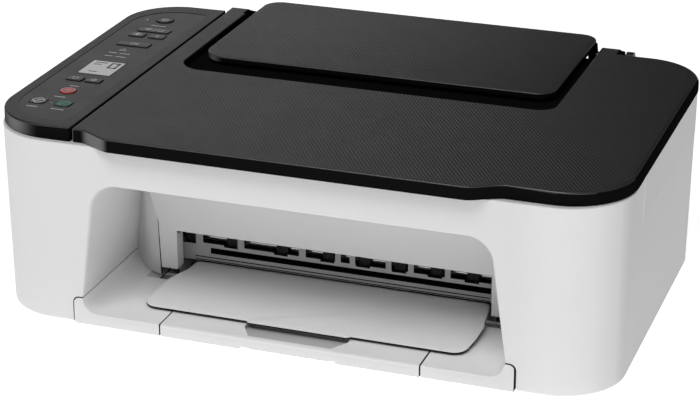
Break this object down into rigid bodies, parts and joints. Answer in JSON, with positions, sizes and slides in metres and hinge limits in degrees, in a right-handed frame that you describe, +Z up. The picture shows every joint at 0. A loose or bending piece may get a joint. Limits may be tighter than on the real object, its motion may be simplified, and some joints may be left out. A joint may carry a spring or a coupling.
{
  "type": "inkjet printer",
  "caption": "Flatbed scanner and inkjet printer: rounded white casing, ribbed black lid with folded paper support, control panel at the left, and an arched output bay.",
  "frame": {"origin": "centre of the outline on the floor plane, under the feet", "axes": "+X right along the longest side, +Y to the back (the front faces -Y), +Z up"},
  "size_m": [0.435, 0.316, 0.145],
  "materials": {
    "casing_white": "fine satin moulding",
    "panel_black": "fine ribbed texture",
    "dark_plastic": "fine spark texture",
    "grey_plastic": "satin moulding",
    "button_black": "satin",
    "button_red": "satin",
    "display": "clear cover over a grey display",
    "lamp_lens": "translucent",
    "cushion_white": "soft foam sheet",
    "steel": "ground rod",
    "zinc_steel": "plated sheet",
    "glass": "polished",
    "foot_rubber": "matt",
    "roller_rubber": "matt",
    "clear_film": "clear film with fine lines",
    "cartridge_plastic": "satin",
    "circuit_board": "solder mask"
  },
  "bodies": {
    "chassis": {"base_pan": "casing_white", "rubber_feet": "foot_rubber", "front_housing": "casing_white", "bay_liner": "casing_white", "scanner_frame": "casing_white", "scanner_tub": "dark_plastic", "rear_cover": "casing_white", "output_apron": "casing_white", "control_panel": "panel_black", "lcd_window": "display", "status_lamp": "lamp_lens", "platen_glass": "glass", "scan_rail": "steel", "feed_chute": "dark_plastic", "exit_chassis": "grey_plastic", "side_frames": "zinc_steel", "carriage_rail": "steel", "encoder_strip": "clear_film", "carriage_belt": "roller_rubber", "carriage_motor": "zinc_steel", "feed_motor": "zinc_steel", "service_station": "dark_plastic", "main_board": "circuit_board", "power_supply": "dark_plastic", "power_inlet": "dark_plastic", "usb_port": "zinc_steel"},
    "document_cover": {"document_cover": "panel_black", "lid_cushion": "cushion_white", "lid_pins": "steel"},
    "paper_support": {"paper_support": "panel_black"},
    "feed_slot_cover": {"feed_slot_cover": "dark_plastic"},
    "paper_guide_left": {"paper_guide_left": "dark_plastic"},
    "paper_guide_right": {"paper_guide_right": "dark_plastic"},
    "output_cover": {"output_cover": "casing_white"},
    "output_tray": {"output_tray": "casing_white", "tray_plate": "casing_white"},
    "output_extension": {"output_extension": "casing_white"},
    "scan_bar": {"scan_bar": "dark_plastic"},
    "feed_roller": {"feed_roller": "roller_rubber"},
    "eject_shaft": {"eject_shaft": "steel", "eject_rollers": "roller_rubber"},
    "pinch_rollers": {"pinch_rollers": "dark_plastic"},
    "pickup_roller": {"pickup_roller": "roller_rubber"},
    "carriage": {"carriage": "dark_plastic", "cartridge_black": "cartridge_plastic", "cartridge_colour": "cartridge_plastic"},
    "lock_lever_black": {"lock_lever_black": "grey_plastic"},
    "lock_lever_colour": {"lock_lever_colour": "grey_plastic"},
    "drive_pulley": {"drive_pulley": "grey_plastic"},
    "idler_pulley": {"idler_pulley": "grey_plastic"},
    "button_power": {"button_power": "button_black"},
    "button_wireless": {"button_wireless": "button_black"},
    "button_info": {"button_info": "button_black"},
    "button_eco": {"button_eco": "button_black"},
    "button_copy": {"button_copy": "button_black"},
    "button_paper": {"button_paper": "button_black"},
    "button_ok": {"button_ok": "button_black"},
    "button_stop": {"button_stop": "button_red"},
    "button_black": {"button_black": "button_black"},
    "button_colour": {"button_colour": "button_black"}
  },
  "joints": [
    {"name": "lid_hinge", "type": "hinge", "parent": "chassis", "child": "document_cover", "pos_m": [0, 0.147, 0.132], "axis": [-1, 0, 0], "range_deg": [0, 70]},
    {"name": "support_hinge", "type": "hinge", "parent": "document_cover", "child": "paper_support", "pos_m": [0, 0.147, 0.132], "axis": [-1, 0, 0], "range_deg": [0, 105]},
    {"name": "slot_cover_hinge", "type": "hinge", "parent": "chassis", "child": "feed_slot_cover", "pos_m": [0, 0.124, 0.1105], "axis": [1, 0, 0], "range_deg": [0, 95]},
    {"name": "guide_left_slide", "type": "slide", "parent": "chassis", "child": "paper_guide_left", "axis": [1, 0, 0], "range_m": [0, 0.05]},
    {"name": "guide_right_slide", "type": "slide", "parent": "chassis", "child": "paper_guide_right", "axis": [-1, 0, 0], "range_m": [0, 0.05]},
    {"name": "output_cover_hinge", "type": "hinge", "parent": "chassis", "child": "output_cover", "pos_m": [0, -0.07, 0.0235], "axis": [1, 0, 0], "range_deg": [0, 70]},
    {"name": "output_tray_slide", "type": "slide", "parent": "chassis", "child": "output_tray", "axis": [0, -1, 0], "range_m": [0, 0.09]},
    {"name": "extension_slide", "type": "slide", "parent": "output_tray", "child": "output_extension", "axis": [0, -1, 0], "range_m": [0, 0.035]},
    {"name": "scan_bar_slide", "type": "slide", "parent": "chassis", "child": "scan_bar", "axis": [1, 0, 0], "range_m": [0, 0.29]},
    {"name": "feed_spin", "type": "hinge", "parent": "chassis", "child": "feed_roller", "pos_m": [0, 0.046, 0.038], "axis": [1, 0, 0], "continuous": true},
    {"name": "eject_spin", "type": "hinge", "parent": "chassis", "child": "eject_shaft", "pos_m": [0, -0.052, 0.0373], "axis": [1, 0, 0], "continuous": true},
    {"name": "pinch_spin", "type": "hinge", "parent": "chassis", "child": "pinch_rollers", "pos_m": [0, 0.046, 0.049], "axis": [1, 0, 0], "continuous": true},
    {"name": "pickup_spin", "type": "hinge", "parent": "chassis", "child": "pickup_roller", "pos_m": [0, 0.1072, 0.0705], "axis": [1, 0, 0], "continuous": true},
    {"name": "carriage_slide", "type": "slide", "parent": "chassis", "child": "carriage", "axis": [-1, 0, 0], "range_m": [0, 0.274]},
    {"name": "lever_black_hinge", "type": "hinge", "parent": "carriage", "child": "lock_lever_black", "pos_m": [0.1704, -0.04, 0.0985], "axis": [-1, 0, 0], "range_deg": [0, 20]},
    {"name": "lever_colour_hinge", "type": "hinge", "parent": "carriage", "child": "lock_lever_colour", "pos_m": [0.1296, -0.04, 0.0985], "axis": [-1, 0, 0], "range_deg": [0, 20]},
    {"name": "drive_pulley_spin", "type": "hinge", "parent": "chassis", "child": "drive_pulley", "pos_m": [-0.18, 0.045, 0.075], "axis": [0, 0, 1], "range_deg": [0, 2730]},
    {"name": "idler_pulley_spin", "type": "hinge", "parent": "chassis", "child": "idler_pulley", "pos_m": [0.18, 0.045, 0.075], "axis": [0, 0, 1], "range_deg": [0, 2730]},
    {"name": "press_power", "type": "slide", "parent": "chassis", "child": "button_power", "axis": [0, 0, -1], "range_m": [0, 0.0008], "stiffness_N_per_m": 400},
    {"name": "press_wireless", "type": "slide", "parent": "chassis", "child": "button_wireless", "axis": [0, 0, -1], "range_m": [0, 0.0008], "stiffness_N_per_m": 400},
    {"name": "press_info", "type": "slide", "parent": "chassis", "child": "button_info", "axis": [0, 0, -1], "range_m": [0, 0.0008], "stiffness_N_per_m": 400},
    {"name": "press_eco", "type": "slide", "parent": "chassis", "child": "button_eco", "axis": [0, 0, -1], "range_m": [0, 0.0008], "stiffness_N_per_m": 400},
    {"name": "press_copy", "type": "slide", "parent": "chassis", "child": "button_copy", "axis": [0, 0, -1], "range_m": [0, 0.0008], "stiffness_N_per_m": 400},
    {"name": "press_paper", "type": "slide", "parent": "chassis", "child": "button_paper", "axis": [0, 0, -1], "range_m": [0, 0.0008], "stiffness_N_per_m": 400},
    {"name": "press_ok", "type": "slide", "parent": "chassis", "child": "button_ok", "axis": [0, 0, -1], "range_m": [0, 0.0008], "stiffness_N_per_m": 400},
    {"name": "press_stop", "type": "slide", "parent": "chassis", "child": "button_stop", "axis": [0, 0, -1], "range_m": [0, 0.0008], "stiffness_N_per_m": 400},
    {"name": "press_black", "type": "slide", "parent": "chassis", "child": "button_black", "axis": [0, 0, -1], "range_m": [0, 0.0008], "stiffness_N_per_m": 400},
    {"name": "press_colour", "type": "slide", "parent": "chassis", "child": "button_colour", "axis": [0, 0, -1], "range_m": [0, 0.0008], "stiffness_N_per_m": 400}
  ],
  "couplings": [
    {"joint": "guide_right_slide", "follows": "guide_left_slide", "ratio": 1},
    {"joint": "eject_spin", "follows": "feed_spin", "ratio": 0.85714},
    {"joint": "pinch_spin", "follows": "feed_spin", "ratio": -1.3333},
    {"joint": "pickup_spin", "follows": "feed_spin", "ratio": -0.42857},
    {"joint": "drive_pulley_spin", "follows": "carriage_slide", "rad_per_m": 158.73},
    {"joint": "idler_pulley_spin", "follows": "carriage_slide", "rad_per_m": 158.73}
  ]
}
